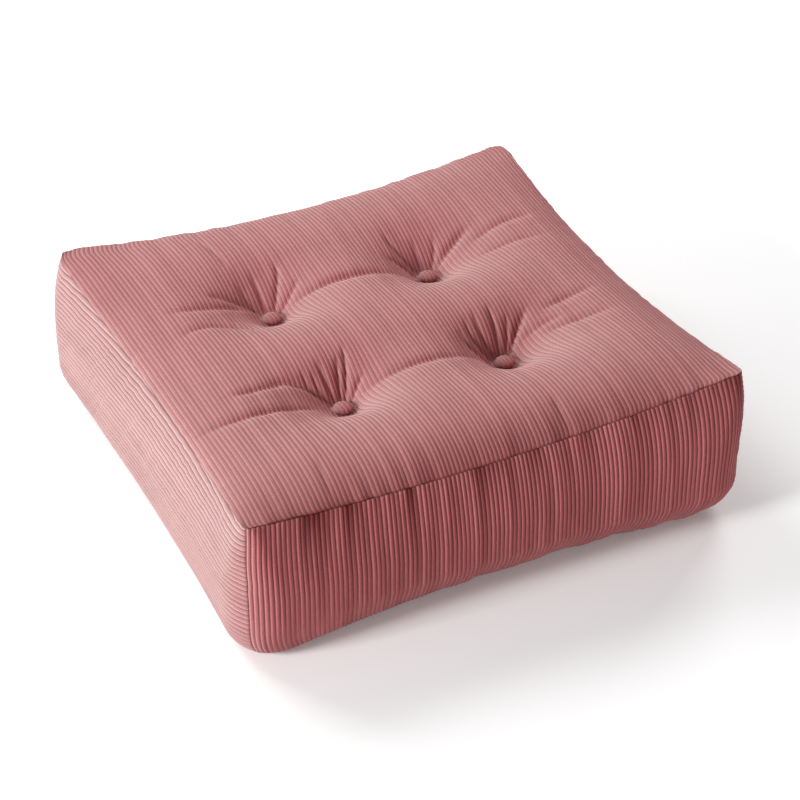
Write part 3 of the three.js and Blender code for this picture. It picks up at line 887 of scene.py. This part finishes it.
def make_button(place, x, y, turn):
    """A button covered in the same cloth, its ribs nearly along Y."""
    section = np.array(BUTTON_SECTION)
    length = np.concatenate([[0], np.cumsum(np.hypot(*np.diff(section, axis=0).T))])
    fine = np.linspace(0, length[-1], BUTTON_POINTS["section"])
    radius = np.interp(fine, length, section[:, 0])
    height = np.interp(fine, length, section[:, 1])
    for _ in range(BUTTON_SMOOTHING):
        radius[1:-1] = (radius[:-2] + 2 * radius[1:-1] + radius[2:]) / 4
        height[1:-1] = (height[:-2] + 2 * height[1:-1] + height[2:]) / 4
    angle = np.linspace(0, 2 * math.pi, BUTTON_POINTS["round"])
    local_x = radius[None] * np.cos(angle)[:, None]
    local_y = radius[None] * np.sin(angle)[:, None]
    base = np.stack([local_x, local_y, np.repeat(height[None], len(angle), 0)], -1)
    turned = local_x * math.cos(turn) + local_y * math.sin(turn)
    phase = turned / BUTTON_PITCH + BUTTON_FIRST_RIB
    dome = np.clip(height / BUTTON_RIM - 1, 0, 1)[None]
    wide, high = section.max(axis=0)
    normal = unit(base / np.array([wide, wide, high]))
    points = base - normal * (RIB_DEPTH["button"] * (1 - rib_height(phase)) * dome)[..., None]
    points += np.array([x, y, SEAT_HEIGHT + BUTTON_GAP])
    index = np.arange(points[..., 0].size).reshape(points.shape[:2])
    index[-1] = index[0]
    index[:, 0] = index[0, 0]
    index[:, -1] = index[0, -1]
    looks = rib_light_and_tone("button", phase, DARKNESS["button"], normal)
    return grid_mesh("covered_button_" + place, points, phase, looks, index)


def corduroy(name, deep, pale):
    """Corduroy with painted light and sheen: deep where its surface faces away from the back left,
    painted paler where it faces the back left, and with painted highlights and shade across the ribs."""
    material = bpy.data.materials.new(name)
    material.use_nodes = True
    nodes, links = material.node_tree.nodes, material.node_tree.links
    shader = nodes["Principled BSDF"]
    for socket, value in GLOSS.items():
        shader.inputs[socket].default_value = value

    def add(kind, **values):
        node = nodes.new(kind)
        for key, value in values.items():
            setattr(node, key, value)
        return node

    def attribute(title):
        return add("ShaderNodeAttribute", attribute_name=title).outputs["Fac"]

    def mixed(blend, share, first, second):
        mix = add("ShaderNodeMix", data_type="RGBA", blend_type=blend, clamp_factor=False)
        for socket, value in {"Factor": share, "A": first, "B": second}.items():
            if isinstance(value, bpy.types.NodeSocket):
                links.new(value, mix.inputs[socket])
            else:
                mix.inputs[socket].default_value = value
        return mix.outputs["Result"]

    place = add("ShaderNodeTexCoord")

    def noise(grain):
        texture = add("ShaderNodeTexNoise")
        texture.inputs["Scale"].default_value = grain["scale"]
        texture.inputs["Detail"].default_value = grain["detail"]
        links.new(place.outputs["Object"], texture.inputs["Vector"])
        spread = add("ShaderNodeMapRange")
        spread.inputs["To Min"].default_value = grain["least"]
        spread.inputs["To Max"].default_value = grain["most"]
        links.new(texture.outputs["Fac"], spread.inputs["Value"])
        return texture.outputs["Fac"], spread.outputs[0]

    fraction = add("ShaderNodeMath", operation="FRACT")
    links.new(attribute("rib"), fraction.inputs[0])
    # Painted highlight and shade across each rib
    ramp = add("ShaderNodeValToRGB")
    links.new(fraction.outputs[0], ramp.inputs["Fac"])
    stops = ramp.color_ramp
    stops.elements[0].color = (*RIB_HIGHLIGHT_AND_SHADE[0.0], 1)
    stops.elements[1].color = (*RIB_HIGHLIGHT_AND_SHADE[1.0], 1)
    for position in list(RIB_HIGHLIGHT_AND_SHADE)[1:-1]:
        stops.elements.new(position).color = (*RIB_HIGHLIGHT_AND_SHADE[position], 1)

    _, mottle_tone = noise(MOTTLE)
    pile, pile_tone = noise(PILE)
    fine_tone = add("ShaderNodeMath", operation="MULTIPLY")
    links.new(mottle_tone, fine_tone.inputs[0])
    links.new(pile_tone, fine_tone.inputs[1])

    # painted light and sheen by the way the surface faces
    colour = mixed("MIX", attribute("painted_light_share"), (*deep, 1), (*pale, 1))
    # painted highlight and shade across the ribs
    colour = mixed("MULTIPLY", attribute("rib_highlight_share"), colour, ramp.outputs["Color"])
    # random tone, and painted shade in the grooves, at the seams and by the front seam
    colour = mixed("MULTIPLY", attribute("tone_and_shade"), colour, (*TONE_AND_SHADE_COLOUR, 1))
    colour = mixed("MULTIPLY", 1, colour, fine_tone.outputs[0])
    links.new(colour, shader.inputs["Base Color"])

    bump = add("ShaderNodeBump")
    for socket, value in PILE_BUMP.items():
        bump.inputs[socket].default_value = value
    links.new(pile, bump.inputs["Height"])
    links.new(bump.outputs["Normal"], shader.inputs["Normal"])
    return material


def dress(piece, material, node):
    """Gives a piece its cloth, hangs it under the root body, and hides the part node it stands for."""
    piece.data.materials.append(material)
    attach(piece, "root")
    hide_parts(node)


def make_floor():
    reach = FLOOR["reach"]
    corners = [(-reach, -reach, 0), (reach, -reach, 0), (reach, reach, 0), (-reach, reach, 0)]
    mesh = bpy.data.meshes.new("floor")
    mesh.from_pydata(corners, [], [(0, 1, 2, 3)])
    floor = bpy.data.objects.new("floor", mesh)
    bpy.context.scene.collection.objects.link(floor)
    material = bpy.data.materials.new("pale_floor")
    material.use_nodes = True
    shader = material.node_tree.nodes["Principled BSDF"]
    shader.inputs["Base Color"].default_value = FLOOR["colour"]
    shader.inputs["Roughness"].default_value = FLOOR["roughness"]
    shader.inputs["Emission Color"].default_value = (1, 1, 1, 1)
    shader.inputs["Emission Strength"].default_value = FLOOR["glow"]
    mesh.materials.append(material)


def make_camera():
    back = Vector((-math.sin(CAMERA_AZIMUTH) * math.cos(CAMERA_ELEVATION),
                   -math.cos(CAMERA_AZIMUTH) * math.cos(CAMERA_ELEVATION),
                   math.sin(CAMERA_ELEVATION)))
    right = (-back).cross(Vector((0, 0, 1))).normalized()
    up = right.cross(-back)
    turned_right = math.cos(CAMERA_ROLL) * right + math.sin(CAMERA_ROLL) * up
    turned_up = math.cos(CAMERA_ROLL) * up - math.sin(CAMERA_ROLL) * right
    camera = bpy.data.objects.new("camera", bpy.data.cameras.new("camera"))
    camera.data.sensor_width = SENSOR
    camera.data.lens = FOCAL_PIXELS / IMAGE_SIZE * SENSOR
    camera.data.clip_end = 100
    turn = Matrix((turned_right, turned_up, back)).transposed().to_4x4()
    camera.matrix_world = Matrix.Translation(CAMERA_PLACE) @ turn
    bpy.context.scene.collection.objects.link(camera)
    bpy.context.scene.camera = camera


def area_light(name, place, size, power):
    light = bpy.data.lights.new(name, "AREA")
    light.shape = "SQUARE"
    light.size = size
    light.energy = power
    holder = bpy.data.objects.new(name, light)
    holder.location = place
    toward = Vector(LIGHT_AIM) - Vector(place)
    holder.rotation_euler = toward.to_track_quat("-Z", "Y").to_euler()
    bpy.context.scene.collection.objects.link(holder)


def make_light():
    world = bpy.data.worlds.new("studio")
    world.use_nodes = True
    background = world.node_tree.nodes["Background"]
    background.inputs["Color"].default_value = (1, 1, 1, 1)
    background.inputs["Strength"].default_value = WORLD_STRENGTH
    bpy.context.scene.world = world
    for name, light in LIGHTS.items():
        area_light(name, **light)


make_camera()
make_light()
make_floor()
cover = corduroy("rose_corduroy", **COLOURS["cover"])
for panel in (make_top(), make_upright_side("front"), make_upright_side("back"),
              make_level_side("left"), make_level_side("right"), make_base()):
    dress(panel, cover, "pouf_body")
# a darker copy of the cloth for the buttons, painted shade
button_cover = corduroy("rose_corduroy_button_painted_shade", **COLOURS["button_cover"])
for place, tuft in TUFTS.items():
    button = make_button(place, tuft["x"], tuft["y"], BUTTON_TURNS[place])
    dress(button, button_cover, "button_" + place)

bpy.context.scene.view_settings.view_transform = "Standard"
